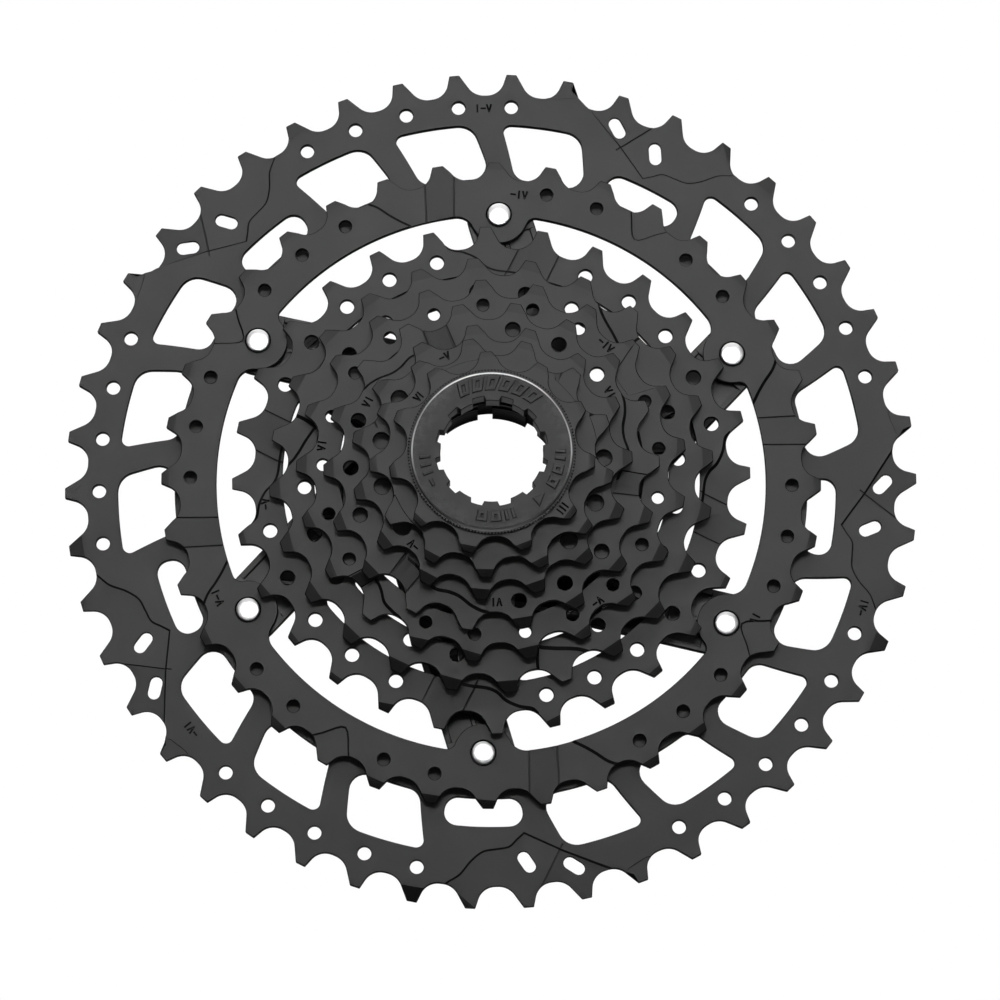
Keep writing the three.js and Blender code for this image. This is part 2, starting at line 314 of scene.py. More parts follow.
class Groove:
    """A fine line cut along a path."""

    def __init__(self, path, half=0.24, depth=0.15):
        self.path, self.half, self.depth = path, half, depth
        p = np.array(path)
        run = np.gradient(p, axis=0)
        run /= np.linalg.norm(run, axis=1)[:, None]
        side = np.stack([-run[:, 1], run[:, 0]], 1) * half
        ends = p.copy()
        ends[0] -= run[0] * half
        ends[-1] += run[-1] * half
        outline = [tuple(v) for v in ends - side] + [tuple(v) for v in (ends + side)[::-1]]
        self.lines = [list(path), outline + outline[:1]]

    def drop(self, x, y):
        return self.depth * np.clip(1 - distance_to(x, y, self.path) / self.half, 0, 1)


class Facet:
    """A flat bevel: beyond the line from a to b, on its right, the face slopes down."""

    def __init__(self, a, b, slope, reach, limit=9.0, far=5.0):
        self.a, self.b = np.array(a, float), np.array(b, float)
        self.slope, self.reach, self.limit, self.far = slope, reach, limit, far
        self.lines = [[tuple(self.a), tuple(self.b)]]

    def drop(self, x, y):
        middle = (self.a + self.b) / 2
        along = (self.b - self.a) / np.linalg.norm(self.b - self.a)
        side = (x - self.a[0]) * along[1] - (y - self.a[1]) * along[0]
        run = (x - middle[0]) * along[0] + (y - middle[1]) * along[1]
        half = np.linalg.norm(self.b - self.a) / 2 + self.reach
        drop = np.minimum(np.maximum(side, 0) * self.slope, self.limit)
        return np.where((abs(run) < half) & (side < self.far), drop, 0)


def fan(low, high, inner, outer):
    """A ramp factor, from 0 at one line to 1 at another. Each line is an angle at two radii."""

    def factor(x, y):
        radius = np.hypot(x, y)
        angle = np.degrees(np.arctan2(y, x))
        t = (radius - inner) / (outer - inner)
        start = low[0] + (low[1] - low[0]) * t
        end = high[0] + (high[1] - high[0]) * t
        middle = (start + end) / 2
        angle = (angle - middle + 180) % 360 - 180 + middle
        return np.clip((angle - start) / (end - start), 0, 1)

    return factor


# ---------------------------------------------------------------- meshes


# Painted shade, set by each face's normal height: below STEEP a face is a cut edge of the sheet and
# gets all of the painted shade. Between that and LEVEL it is a slope, which gets only a share of
# it.
# Slopes, and walls below UPRIGHT, get all of that towards -Y and only a part where they turn away
# from it.
LEVEL = 0.97
STEEP = 0.75
UPRIGHT = 0.3
SLOPE_SHADE_SHARE = 0.9
WALL_SHADE_AWAY = 0.2
SLOPE_SHADE_ASIDE = 0.08


class Shell:
    """Collects the faces of one closed body, in millimetres, and makes the Blender piece."""

    def __init__(self):
        self.points = []
        self.edge = []
        self.faces = []
        self.shade = []
        self.count = 0

    def add(self, points, faces, edge, shade=None):
        self.points.append(np.asarray(points, float))
        self.edge.append(np.broadcast_to(np.asarray(edge, float), (len(points),)))
        self.faces += [tuple(i + self.count for i in face) for face in faces]
        self.shade += [math.nan] * len(faces) if shade is None else shade
        self.count += len(points)

    def band(self, lower, upper, edge=0.0, shade=None):
        """Joins two closed loops of the same number of 3-D points. The shade, if there is one, is
        painted shade, and takes the place of each face's own share of the painted shade from its
        normal."""
        n = len(lower)
        faces = [(i, (i + 1) % n, n + (i + 1) % n, n + i) for i in range(n)]
        self.add(list(lower) + list(upper), faces, edge, shade)

    def piece(self, name, angle=28):
        points = np.concatenate(self.points)
        edge = np.concatenate(self.edge)
        keys = np.round(points * 20000).astype(np.int64)
        _, first, same = np.unique(keys, axis=0, return_index=True, return_inverse=True)
        same = same.reshape(-1)
        worn = np.zeros(len(first))
        np.maximum.at(worn, same, edge)
        faces = []
        shades = []
        for face, shade in zip(self.faces, self.shade):
            ring = [same[i] for i in face]
            ring = [v for k, v in enumerate(ring) if v != ring[k - 1]]
            if len(set(ring)) == len(ring) and len(ring) > 2:
                faces.append([int(v) for v in ring])
                shades.append(shade)
        mesh = bpy.data.meshes.new(name)
        mesh.from_pydata((points[first] * MM).tolist(), [], faces)
        mesh.validate()
        wear = mesh.attributes.new("edge", "FLOAT", "POINT")
        wear.data.foreach_set("value", worn.astype(np.float32))
        # The "cut" attribute is painted shade: walls and slopes are painted darker, most where they
        # face -Y.
        painted_shade = mesh.attributes.new("cut", "FLOAT", "FACE")
        normal = np.array([p.normal for p in mesh.polygons])
        level = abs(normal[:, 2])
        toward = normal[:, 1] / np.maximum(np.hypot(normal[:, 0], normal[:, 1]), 1e-6)
        share = np.where(level < STEEP, 1.0, np.where(level < LEVEL, SLOPE_SHADE_SHARE, 0.0))
        wall_shade_turn = 1 - (1 - WALL_SHADE_AWAY) * np.clip(toward, 0, 1)
        slope_shade_turn = SLOPE_SHADE_ASIDE + (1 - SLOPE_SHADE_ASIDE) * np.clip(-toward, 0, 1)
        share *= np.where(level < UPRIGHT, wall_shade_turn, np.where(level < STEEP, 1, slope_shade_turn))
        # Faces that carry their own painted shade keep it, in place of the one from their normal.
        if len(shades) == len(share):
            share = np.where(np.isnan(shades), share, shades)
        painted_shade.data.foreach_set("value", share.astype(np.float32))
        mesh.shade_smooth()
        mesh.set_sharp_from_angle(angle=math.radians(angle))
        obj = bpy.data.objects.new(name, mesh)
        bpy.context.scene.collection.objects.link(obj)
        return obj


def add_lines(points, edges, lines, closed):
    """Adds each line's points, and the edges that join them in turn."""
    for line in lines:
        base = len(points)
        count = len(line)
        points += line
        edges += [(base + i, base + (i + 1) % count) for i in range(count if closed else count - 1)]


def triangulated(loops, lines):
    """Triangles between the loops, as (points, triangles, rim edges running with the metal on
    their left). The first loop is the outside; every other loop is a hole."""
    points = []
    edges = []
    add_lines(points, edges, loops, closed=True)
    rim_edges = len(edges)
    add_lines(points, edges, lines, closed=False)
    found = delaunay_2d_cdt([Vector(p) for p in points], edges, [], 0, 1e-5, True)
    verts, out_edges, faces, _, edge_from, _ = found
    rim = set()
    for k, (a, b) in enumerate(out_edges):
        if any(e < rim_edges for e in edge_from[k]):
            rim.add((min(a, b), max(a, b)))
    xy = np.array([tuple(v) for v in verts])
    by_edge = {}
    for f, face in enumerate(faces):
        for k in range(3):
            a, b = face[k], face[(k + 1) % 3]
            by_edge.setdefault((min(a, b), max(a, b)), []).append(f)
    state = [None] * len(faces)
    queue = []
    for key, sides in by_edge.items():
        if len(sides) == 1:
            state[sides[0]] = key in rim
            queue.append(sides[0])
    while queue:
        f = queue.pop()
        face = faces[f]
        for k in range(3):
            key = (min(face[k], face[(k + 1) % 3]), max(face[k], face[(k + 1) % 3]))
            for g in by_edge[key]:
                if state[g] is None:
                    state[g] = state[f] != (key in rim)
                    queue.append(g)
    kept = []
    for f, face in enumerate(faces):
        if state[f]:
            a, b, c = (xy[i] for i in face)
            flat = (b[0] - a[0]) * (c[1] - a[1]) - (b[1] - a[1]) * (c[0] - a[0])
            kept.append(tuple(face) if flat > 0 else (face[0], face[2], face[1]))
    directed = {}
    for face in kept:
        for k in range(3):
            directed[(face[k], face[(k + 1) % 3])] = True
    walls = [(a, b) for a, b in directed if (b, a) not in directed]
    used = sorted({i for face in kept for i in face})
    index = {v: i for i, v in enumerate(used)}
    return (
        xy[used],
        [tuple(index[i] for i in face) for face in kept],
        [(index[a], index[b]) for a, b in walls],
    )


def rim_flags(count, walls):
    """For each point, 1 where it is on a rim and 0 elsewhere."""
    rim = np.zeros(count)
    for a, b in walls:
        rim[a] = rim[b] = 1
    return rim


def plate(shell, outline, holes, front, back, bevel=0.13, features=(), painted_shade_wells=()):
    """A sheet between two heights, with bevelled rims and features cut into its front. Inside each
    of the wells, which are (centre, radius) pairs, the front gets painted shade as dark as a cut
    edge's."""
    loops = [facing(outline, True)] + [facing(hole, False) for hole in holes]
    lines = []
    if bevel:
        for loop in loops:
            ring = inset(loop, bevel)
            lines.append(ring + ring[:1])
    for feature in features:
        lines += feature.lines
    xy, triangles, walls = triangulated(loops, lines)
    x, y = xy[:, 0], xy[:, 1]
    rim = rim_flags(len(xy), walls)
    top = np.full(len(xy), float(front))
    bottom = np.full(len(xy), float(back))
    cut = np.zeros(len(xy))
    for feature in features:
        cut = np.maximum(cut, feature.drop(x, y))
    top -= cut + rim * bevel
    bottom += rim * bevel
    shade = None
    # Painted shade: the front is darkened inside each well's circle.
    if painted_shade_wells:
        middle = xy[np.array(triangles)].mean(1)
        dark = np.zeros(len(triangles), bool)
        for centre, radius in painted_shade_wells:
            dark |= np.hypot(*(middle - centre).T) < radius
        shade = list(np.where(dark, 1.0, math.nan))
        shade += [math.nan] * (len(triangles) + len(walls))
    solid_between(shell, xy, triangles, walls, top, bottom, rim, shade)


def solid_between(shell, xy, triangles, walls, top, bottom, rim, shade=None):
    n = len(xy)
    points = np.concatenate([np.column_stack([xy, top]), np.column_stack([xy, bottom])])
    faces = list(triangles)
    faces += [(c + n, b + n, a + n) for a, b, c in triangles]
    faces += [(a, a + n, b + n, b) for a, b in walls]
    shell.add(points, faces, np.concatenate([rim, rim]), shade)


def cap(shell, loops, lines, height, upward=True):
    """One face of a body, between loops that its other faces also use."""
    xy, triangles, walls = triangulated(loops, lines)
    rim = rim_flags(len(xy), walls)
    points = np.column_stack([xy, height(xy[:, 0], xy[:, 1], rim)])
    shell.add(points, triangles if upward else [t[::-1] for t in triangles], rim)


def turned_rings(profile, steps, shape, centre=(0, 0)):
    """A loop of 3-D points for each (radius, height) pair. shape(radius, height, degrees, index)
    returns the radius and height to use at that place."""
    rings = []
    for k, (radius, height) in enumerate(profile):
        ring = []
        for i in range(steps):
            angle = 360 * i / steps
            r, z = shape(radius, height, angle, k) if shape else (radius, height)
            x, y = polar(r, angle)
            ring.append((x + centre[0], y + centre[1], z))
        rings.append(ring)
    return rings


def ring_body(shell, profile, steps, shape=None):
    """A closed ring turned from (radius, height) pairs."""
    rings = turned_rings(profile, steps, shape)
    for k in range(len(rings)):
        shell.band(rings[k], rings[(k + 1) % len(rings)])


def spun(shell, profile, steps, centre=(0, 0), shape=None):
    """A solid pin turned from (radius, height) pairs, closed at both ends."""
    rings = turned_rings(profile, steps, shape, centre)
    for k in range(len(rings) - 1):
        shell.band(rings[k], rings[k + 1])
    for ring, order in ((rings[0], -1), (rings[-1], 1)):
        middle = (centre[0], centre[1], ring[0][2])
        faces = [(i, (i + 1) % steps, steps)[::order] for i in range(steps)]
        shell.add(ring + [middle], faces, 0)


# ---------------------------------------------------------------- the chain's tooth form

CHAIN_PITCH = 12.7
TIP_LOW = {46: -0.78}
SMALL_TIP_LOW = -0.95
TIP_HIGH = 1.42
LOW_ARC = (-0.54, 0.10, 3.95, 202, 270)
HIGH_ARC = (0.16, 0.34, 4.19, 270, 326.5)
TIP_ROUND = 0.1


def pitch_radius(teeth):
    return CHAIN_PITCH / (2 * math.sin(math.pi / teeth))


def tooth_outline(teeth, phase, rise, sink=0.0, steps=8):
    """Flat tips, leaning flanks, and a valley of two arcs round each roller."""
    pitch = pitch_radius(teeth)
    step = 360 / teeth
    points = []
    tip = pitch + rise
    low = TIP_LOW.get(teeth, SMALL_TIP_LOW)
    corner = [
        (tip - TIP_ROUND, low - TIP_ROUND * 0.5),
        (tip, low + TIP_ROUND),
        (tip, TIP_HIGH - TIP_ROUND),
        (tip - TIP_ROUND, TIP_HIGH + TIP_ROUND * 0.3),
    ]
    for i in range(teeth):
        tooth = phase + i * step
        points += turned(corner, tooth)
        valley = []
        for cx, cy, radius, start, end in (LOW_ARC, HIGH_ARC):
            valley += arc((cx, cy - sink), radius, start, end, steps)
        # In the valley's own axes, across runs towards higher angles and up runs outwards.
        placed = [(pitch + up, across) for across, up in valley]
        points += turned(placed, tooth + step / 2)
    return points


# ---------------------------------------------------------------- sprockets

SPLINE_COUNT = 9
SPLINE_WIDTH = 12
SPLINE_PHASE = 95
BORE_RADIUS = 15.5
SPLINE_RADIUS = 16.6
ARM_COUNT = 6
TAB_PHASE = 28.4
RIVET_CIRCLE = 60.58
RING_INNER_46 = 63.4
RING_INNER_36 = 60.5
PIN_CIRCLE = 23.8
PIN_PHASE = 58
RIVET_HOLE = 2.0
PIN_HOLE = 1.5
SHEET_THICKNESS = 1.8
COLLAR_RADIUS = 18.2
# Where each shift zone of the largest sprocket has its corner, and the width of the zone's wall.
ZONE_CORNERS_46 = (64.2, 134.5, 204.8, 275.3, 353.5)
ZONE_WALL_46 = 0.36


def rivet_centre(arm):
    return polar(RIVET_CIRCLE, TAB_PHASE + 60 * arm)


def pin_centre(pin):
    return polar(PIN_CIRCLE, PIN_PHASE + 120 * pin)


def spline_outline():
    points = []
    step = 360 / SPLINE_COUNT
    for i in range(SPLINE_COUNT):
        middle = SPLINE_PHASE + i * step
        half = SPLINE_WIDTH / 2
        points += arc((0, 0), SPLINE_RADIUS, middle - half, middle + half, 4)
        points += arc((0, 0), BORE_RADIUS, middle + half, middle + step - half, 8)
    return points


def tabbed_outline(radius, nose=6.5, fillets=(2.0, 3.8)):
    """The inside of a riveted ring, with a round tab for each arm of the carrier."""
    spread = []
    for side, fillet in zip((-1, 1), fillets):
        near = radius - fillet
        far = nose + fillet
        swing = math.acos((near**2 + RIVET_CIRCLE**2 - far**2) / (2 * near * RIVET_CIRCLE))
        swing = side * math.degrees(swing)
        cx, cy = polar(near, swing)
        away = math.degrees(math.atan2(-cy, RIVET_CIRCLE - cx))
        spread.append((swing, away, fillet, (cx, cy)))
    (low, low_away, low_fillet, low_centre), (high, high_away, high_fillet, high_centre) = spread
    tab = arc(low_centre, low_fillet, low, low_away, 7)
    tab += arc((RIVET_CIRCLE, 0), nose, low_away + 180, high_away + 180, 18)[1:-1]
    tab += arc(high_centre, high_fillet, high_away, high, 9)
    points = []
    step = 360 / ARM_COUNT
    for arm in range(ARM_COUNT):
        middle = TAB_PHASE + arm * step
        points += turned(tab, middle)
        points += arc((0, 0), radius, middle + high, middle + step + low, 30)[1:-1]
    return points


def web_window(middle, outer, inner=27.0, half_width=6.0):
    """A window of a middle sprocket, between two arms, with rounded corners."""
    mean = (inner + outer) / 2
    half = 180 / ARM_COUNT
    spread = []
    for radius in (outer, inner):
        spread.append(math.radians(half - math.degrees(half_width / radius)) * mean)
    corners = [
        (-spread[0], outer, 2.0), (spread[0], outer, 2.0),
        (spread[1], inner, 1.6), (-spread[1], inner, 1.6),
    ]
    return bent(subdivided(rounded(corners, 5), 1.5), mean, middle)


def big_window(middle):
    """A slanted window of the largest sprocket. Its corners are (degrees, radius, rounding)."""
    mean = 76.0
    corners = [(-4.6, 82.4, 4.2), (7.9, 82.4, 1.6), (5.1, 69.9, 3.4), (-7.8, 69.9, 3.4)]
    flat = [(math.radians(a) * mean, r, c) for a, r, c in corners]
    return bent(subdivided(rounded(flat), 1.5), mean, middle)


def small_window(middle):
    mean = 73.0
    half = math.radians(6.7) * mean
    flat = [(-half, 76.2, 2.9), (half, 76.2, 2.9), (half, 69.9, 2.9), (-half, 69.9, 2.9)]
    return bent(subdivided(rounded(flat), 1.5), mean, middle)


def slot_hole(degrees, radius, lean, length=5.1, width=2.75):
    """A round-ended slot whose long side leans from the radius by the given angle."""
    r = width / 2
    run = length / 2 - r
    ends = arc((run, 0), r, -90, 90, 7) + arc((-run, 0), r, 90, 270, 7)
    return moved(turned(ends, degrees + lean), *polar(radius, degrees))


# Strokes of the generic stamps, in their own axes: outwards and along, in millimetres.
BAR = ((-0.75, 0), (0.75, 0))
DASH = ((0, -0.4), (0, 0.4))
CHEVRON = ((0.75, -0.45), (-0.75, 0), (0.75, 0.45))


def stamp(degrees, radius, *strokes, gap=1.3):
    """A small generic stamp: engraved strokes in a row round the axle."""
    out = []
    for k, stroke in enumerate(strokes):
        across = (k - (len(strokes) - 1) / 2) * gap
        points = turned(moved(stroke, radius, across), degrees)
        out += [Groove([a, b], 0.2, 0.24) for a, b in zip(points[:-1], points[1:])]
    return out


def at(pairs, start):
    """Polar points given as (degrees from start, radius)."""
    return [polar(radius, start + degrees) for degrees, radius in pairs]


# Bevels across the front of the tooth tips: (low side, high side) distances below the tip,
# taken in turn from tooth to tooth.
TIP_BEVELS = {
    36: ((1.9, 1.5), (1.6, 1.8)),
    28: ((1.2, 1.4), (0.9, 2.4), (1.3, 1.1)),
    24: ((2.5, 2.5), (2.7, 2.3)),
    21: ((2.4, 1.2), (2.3, 2.5), (1.4, 2.6)),
    18: ((2.3, 2.1), (2.1, 2.4)),
    15: ((2.2, 2.2),),
    13: ((1.6, 1.9),),
    11: ((1.2, 1.5),),
}
BEVEL_SLOPE = 0.27


def tip_bevels(teeth, phase, rise):
    out = []
    tip = pitch_radius(teeth) + rise
    for k in range(teeth):
        low, high = TIP_BEVELS[teeth][k % len(TIP_BEVELS[teeth])]
        ends = turned([(tip - low, -2.9), (tip - high, 3.3)], phase + k * 360 / teeth)
        out.append(Facet(*ends, BEVEL_SLOPE, 0.3))
    return out


def features_46():
    out = []
    for corner in ZONE_CORNERS_46:
        wave = flowing(at([(-12.6, 91.2), (-11.7, 89), (-9.9, 86.8), (-8.4, 83.7), (-6.6, 81.5),
                           (-4.5, 80.9), (-2.6, 80.5), (-1.3, 79.0), (0, 77.6)], corner))
        edge = wave + at([(5.6, 82.6), (11.8, 89), (14.5, 92)], corner)
        closing = arc((0, 0), 98, corner + 14.5, corner - 12.6, 12)
        out.append(Recess(edge, closing, 0.5, ZONE_WALL_46))
        inner, outer = polar(81.6, corner + 5.7), polar(90.0, corner + 1.7)
        out.append(BoundFacet(inner, outer, edge + closing, 0.5, 0.07))
        out.append(DeepGroove([inner, outer], out[-2]))
        hook = at([(18.5, 91.3), (17.6, 89.7), (16.6, 89.5), (14.2, 90.3)], corner)
        out.append(Recess(flowing(hook), arc((0, 0), 97, corner + 14.0, corner + 19, 5), 0.22))
        out.append(Facet(polar(89.9, corner - 10.2), polar(93.9, corner - 7.5), 0.6, 1.0))
        out.append(Facet(polar(91.0, corner - 17.9), polar(90.9, corner - 14.4), 0.3, 1.0))
    out += stamp(219.8, 85.4, BAR, CHEVRON, DASH)
    out += stamp(91.2, 86.2, CHEVRON, DASH, BAR)
    out += stamp(341.5, 86.2, DASH, CHEVRON, BAR)
    return out


class BoundFacet:
    """A facet inside a recess: beyond its line the recess gets deeper, up to the recess's edge."""

    def __init__(self, a, b, outline, base, slope):
        self.a, self.b = np.array(a, float), np.array(b, float)
        self.outline, self.base, self.slope = outline, base, slope
        self.lines = [[tuple(self.a), tuple(self.b)]]

    def drop(self, x, y):
        along = (self.b - self.a) / np.linalg.norm(self.b - self.a)
        side = (y - self.a[1]) * along[0] - (x - self.a[0]) * along[1]
        near = side > 0
        result = np.zeros(len(x))
        if near.any():
            px, py = x[near], y[near]
            edge = self.outline + self.outline[:1]
            wall = np.clip(distance_to(px, py, edge) / ZONE_WALL_46, 0, 1)
            deep = (self.base + side[near] * self.slope) * wall
            result[near] = np.where(inside(px, py, self.outline), deep, 0)
        return result


def zone(start, low, high, wave, inner, outer, depth, wall=0.6):
    """A shift zone: the face ramps down between two lines, and ends at a wavy wall."""
    edge = flowing(at(wave, start))
    around = arc((0, 0), outer + 3, start + low[1], start + wave[0][0], 12)
    closing = at([(low[0], inner)], start) + around
    low = (start + low[0], start + low[1])
    high = (start + high[0], start + high[1])
    recess = Recess(edge, closing, depth, wall, fan(low, high, inner, outer))
    return [
        recess,
        Groove([polar(inner, low[0]), polar(outer, low[1])]),
        DeepGroove([polar(inner, high[0]), polar(outer, high[1])], recess),
    ]


class DeepGroove(Groove):
    """A groove in the floor of a recess."""

    def __init__(self, path, recess):
        super().__init__(path)
        self.recess = recess

    def drop(self, x, y):
        return super().drop(x, y) + self.recess.drop(x, y)


def features_36():
    out = []
    for quarter in range(4):
        start = 90 * quarter
        out += zone(start, (8.3, 6.4), (14.4, 11.7),
                  [(25.6, 71), (24.2, 69), (22.4, 67.0), (20.8, 64.4), (19.2, 62.3),
                   (17.3, 60.3), (15.5, 58)], 57, 75, 0.6)
        pocket = at([(63.2, 68.6), (60.0, 63.3), (56.6, 67.0), (54.8, 69.4)], start)
        out.append(Recess(flowing(pocket, 4), at([(54.0, 75), (64, 75)], start), 0.5, 0.35))
    out += stamp(203.5, 65.4, BAR, DASH, CHEVRON)
    out += stamp(84.6, 65.4, CHEVRON, BAR, DASH)
    out += stamp(331.5, 65.4, BAR, CHEVRON, BAR)
    return out


def features_28():
    out = []
    for quarter in range(4):
        start = 90 * quarter
        out += zone(start, (74.8, 72.6), (86.6, 81.8),
                  [(101.2, 53.2), (100, 51.9), (97, 51.0), (94, 49.5), (91.8, 47.6),
                   (89, 46.6), (84, 46.3), (78, 46.0)], 45, 56, 0.9)
    out += stamp(187, 49.9, CHEVRON, DASH)
    return out


def features_24():
    out = []
    for third in range(3):
        start = 120 * third
        edge = at([(42.5, 47), (43, 43), (44.5, 39.6), (46.5, 40), (50, 41.0), (54, 42.2),
                   (57, 43.6), (60, 46)], start)
        out.append(Recess(flowing(edge), at([(60, 52), (42.5, 52)], start), 0.85, 0.7))
    return out


def features_21():
    out = []
    ell = at([(26.3, 42.8), (27.2, 39), (28.5, 34.6), (30.5, 34.0), (38, 34.4), (40.5, 38),
              (42.5, 43.5)], 0)
    out.append(Recess(flowing(ell, 3), at([(38, 47), (28, 47)], 0), 0.35))
    out += zone(0, (219.3, 216.6), (224.5, 221.5),
              [(243, 42), (240, 38.6), (236, 37.9), (232, 37.3), (228.5, 35.7),
               (225, 34.8), (220, 34.3)], 33.6, 44, 0.9)
    out += stamp(48, 37.4, CHEVRON, BAR, DASH)
    out += stamp(172, 37.4, BAR, CHEVRON)
    out += stamp(308, 37.4, DASH, CHEVRON)
    return out


def features_18():
    out = []
    for third in range(3):
        start = 120 * third
        out += zone(start, (106.6, 108.4), (118.0, 116.0),
                  [(151.5, 34.5), (150, 32.6), (146, 31.9), (142, 31), (137, 29.6),
                   (132, 29.2), (126, 29.6), (121, 28.6), (115, 27.4), (108, 27.2)],
                  27.2, 37, 0.9)
    for place in (152.5, 32, 272):
        out += stamp(place, 30.4, BAR, CHEVRON)
    return out


def features_15():
    out = [Groove([polar(28.0, 158.5), polar(26.0, 163.5)])]
    for place in (114, 228):
        out += stamp(place, 25.2, CHEVRON, DASH)
    return out


def features_13():
    out = []
    for low, high, radius in ((98, 119, 21.6), (202, 229, 22.4), (4, 23, 22.9), (34, 51, 21.8)):
        edge = arc((0, 0), radius, low, high, 8)
        out.append(Recess(edge, at([(high, 30), (low, 30)], 0), 0.25))
    for place in (60, 140, 186):
        out += stamp(place, 20.6, BAR, CHEVRON, gap=1.0)
    return out


def features_11():
    out = [Groove([polar(21.8, 32.5), polar(20.2, 48.5)])]
    out += stamp(321, 19.6, BAR, BAR, BAR, gap=0.9)
    return out


# Teeth that have a round hole below them: (first tooth, how many, ...) runs, radius, hole size.
SPROCKETS = {
    46: (0.95, 1.03, ((2, 5), (11, 5), (20, 5), (29, 5), (38, 6)), 86.55, 1.53, features_46),
    36: (9.3, -0.2, ((3, 2), (6, 2), (11, 3), (15, 3), (21, 2), (24, 2), (29, 3), (33, 3)),
         66.25, 1.4, features_36),
    28: (1.1, 0.2, ((1, 5), (8, 5), (15, 5), (22, 5)), 49.9, 1.58, features_28),
    24: (4.5, 0.05, ((0, 2), (4, 3), (8, 2), (12, 3), (16, 2), (20, 4)), 41.0, 1.52, features_24),
    21: (7.2, 0.0, ((0, 2), (3, 10), (14, 7)), 36.8, 1.35, features_21),
    18: (1.3, 0.0, ((2, 3), (8, 3), (14, 3)), 30.6, 1.6, features_18),
    15: (1.5, 0.0, ((0, 1), (6, 4), (13, 2)), 24.3, 1.8, features_15),
    13: (17.6, 0.0, (), 0, 0, features_13),
    11: (27.0, -0.2, (), 0, 0, features_11),
}
# How much deeper than the largest sprocket's a sprocket's valleys are.
VALLEY_SINK = {46: 0.0, 36: 0.35, 28: 0.75}
MIDDLE_WINDOWS = {28: 45.8, 24: 38.8, 21: 33.2}
WINDOW_COUNT = 21
WINDOW_PHASE = 12
SMALL_WINDOWS = {3: 62.7, 7: 131.4, 11: 200.1, 15: 268.7, 20: 354.5}


def node_heights(name):
    low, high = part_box(name)
    return low.z / MM, high.z / MM


def body_of_node(name):
    for body, members in frame["record"]["behaviour"]["bodies"].items():
        if name in members:
            return body
    raise ValueError(name)


def finish_piece(obj, material, slot, *nodes):
    obj.data.materials.append(material)
    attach(obj, body_of_node(nodes[0]))
    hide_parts(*nodes)
    return obj


def sprocket(teeth):
    phase, rise, runs, hole_circle, hole_radius, features = SPROCKETS[teeth]
    node = f"sprocket_{teeth}t"
    back, front = node_heights(node)
    step = 360 / teeth
    holes = []
    for first, count in runs:
        for k in range(first, first + count):
            holes.append(circle(hole_radius, 26, polar(hole_circle, phase + k * step)))
    if teeth == 46:
        holes.append(tabbed_outline(RING_INNER_46))
        for place in range(WINDOW_COUNT):
            if place in SMALL_WINDOWS:
                holes.append(small_window(SMALL_WINDOWS[place]))
            else:
                holes.append(big_window(WINDOW_PHASE + place * 360 / WINDOW_COUNT))
        for corner in ZONE_CORNERS_46:
            holes.append(slot_hole(corner, 84.2, 29))
            holes.append(slot_hole(corner + 6.8, 86.55, 46))
    elif teeth == 36:
        holes.append(tabbed_outline(RING_INNER_36))
    else:
        holes.append(spline_outline())
    if teeth in (46, 36):
        for arm in range(ARM_COUNT):
            holes.append(circle(RIVET_HOLE, 24, rivet_centre(arm)))
    if teeth in MIDDLE_WINDOWS:
        for arm in range(ARM_COUNT):
            holes.append(web_window(TAB_PHASE + 30 + 60 * arm, MIDDLE_WINDOWS[teeth]))
    if 18 <= teeth <= 28:
        for pin in range(3):
            holes.append(circle(PIN_HOLE, 16, pin_centre(pin)))
    marks = features()
    painted_shade_wells = []
    if teeth in TIP_BEVELS:
        marks += tip_bevels(teeth, phase, rise)
    if teeth == 36:
        for arm in range(ARM_COUNT):
            centre = rivet_centre(arm)
            well = circle(RIVET_WELL, 40, centre)
            marks.append(Recess(well, [], RIVET_WELL_DEPTH, 0.1, closed=True))
            # The floor of each rivet's well gets painted shade.
            painted_shade_wells.append((centre, RIVET_WELL))
    shell = Shell()
    outline = tooth_outline(teeth, phase, rise, VALLEY_SINK.get(teeth, 0.2))
    if teeth == 11:
        sheet_back = front - SHEET_THICKNESS
        plate(shell, outline, holes, front, sheet_back, features=marks)
        collar = Shell()
        plate(collar, circle(COLLAR_RADIUS, 96), [spline_outline()], sheet_back - 0.02, back)
        finish_piece(collar.piece("sprocket_11t_collar"), COAT, "sprocket_black", node)
    else:
        plate(shell, outline, holes, front, back, features=marks, painted_shade_wells=painted_shade_wells)
    return finish_piece(shell.piece(node + "_shape"), COAT, "sprocket_black", node)


# ---------------------------------------------------------------- materials


